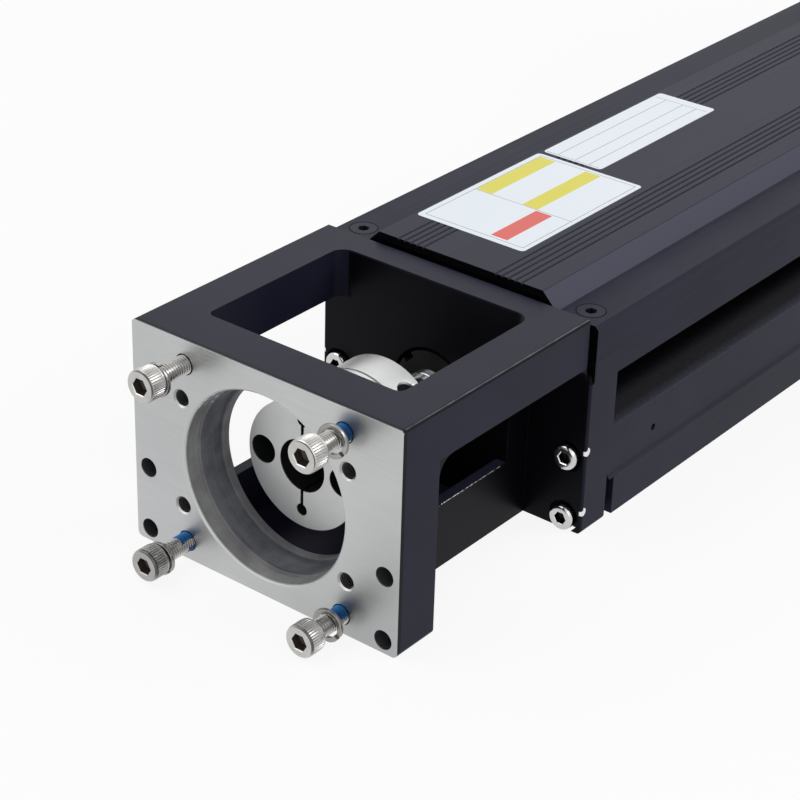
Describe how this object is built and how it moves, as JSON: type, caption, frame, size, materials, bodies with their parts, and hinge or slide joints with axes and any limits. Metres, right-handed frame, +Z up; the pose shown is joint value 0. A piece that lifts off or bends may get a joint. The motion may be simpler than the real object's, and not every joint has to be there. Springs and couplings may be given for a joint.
{
  "type": "ball screw linear stage",
  "caption": "Covered ball screw linear stage with an open motor bracket, a shaft coupling behind the pilot seat and a table carried on arms through the side slots.",
  "frame": {"origin": "on the base plane, under the middle of the stage's whole length and width", "axes": "+Z up, +X along the travel from the motor end to the far end, +Y to the left seen from the motor end"},
  "size_m": [0.4944, 0.104, 0.0768],
  "materials": {
    "black_anodised": "satin black anodised, front face left bare and machined",
    "bare_aluminium": "fine turned aluminium",
    "silver_anodised": "natural anodised",
    "stainless_steel": "bright, slightly worn",
    "black_steel": "black oxide",
    "bearing_steel": "ground",
    "spring_steel": "rolled sheet",
    "green_plastic": "moulded",
    "dark_plastic": "moulded",
    "black_rubber": "moulded"
  },
  "bodies": {
    "frame": {"motor_bracket": "black_anodised", "base_profile": "black_anodised", "top_cover": "black_anodised", "end_plate": "black_anodised", "bearing_cap": "black_steel", "bearing_cap_screws": "stainless_steel", "bracket_cap_screws": "stainless_steel", "end_plate_screws": "stainless_steel", "cover_flat_screws": "black_steel", "motor_screws": "stainless_steel", "spring_washers": "stainless_steel", "front_bumpers": "black_rubber", "rear_bumpers": "black_rubber", "guide_rail_right": "bearing_steel", "guide_rail_left": "bearing_steel", "rail_screws": "stainless_steel", "fixed_bearing_outer_rings": "bearing_steel", "support_bearing_outer_ring": "bearing_steel", "support_retaining_ring": "spring_steel"},
    "screw": {"ball_screw": "bearing_steel", "lock_nut": "stainless_steel", "lock_nut_set_screw": "stainless_steel", "coupling_motor_hub": "bare_aluminium", "coupling_screw_hub": "bare_aluminium", "coupling_spacer": "bare_aluminium", "coupling_disc_packs": "spring_steel", "coupling_disc_bolts": "black_steel", "coupling_clamp_screws": "black_steel", "fixed_bearing_inner_rings": "bearing_steel", "fixed_bearing_cages": "dark_plastic", "support_bearing_inner_ring": "bearing_steel", "support_bearing_cage": "dark_plastic"},
    "carriage": {"saddle": "silver_anodised", "side_plate_right": "black_anodised", "side_plate_left": "black_anodised", "carriage_table": "black_anodised", "guide_block_front_right": "bearing_steel", "guide_block_rear_right": "bearing_steel", "guide_block_front_left": "bearing_steel", "guide_block_rear_left": "bearing_steel", "guide_block_end_caps": "green_plastic", "guide_block_screws": "stainless_steel", "ball_nut": "bearing_steel", "nut_wipers": "dark_plastic", "nut_flange_screws": "stainless_steel", "side_plate_screws": "stainless_steel", "table_screws": "stainless_steel"}
  },
  "joints": [
    {"name": "carriage_slide", "type": "slide", "parent": "frame", "child": "carriage", "axis": [1, 0, 0], "range_m": [-0.25, 0]},
    {"name": "screw_spin", "type": "hinge", "parent": "frame", "child": "screw", "pos_m": [-0.151, 0, 0.0299], "axis": [1, 0, 0], "range_deg": [0, 9000]}
  ],
  "couplings": [
    {"joint": "screw_spin", "follows": "carriage_slide", "rad_per_m": -628.32}
  ]
}
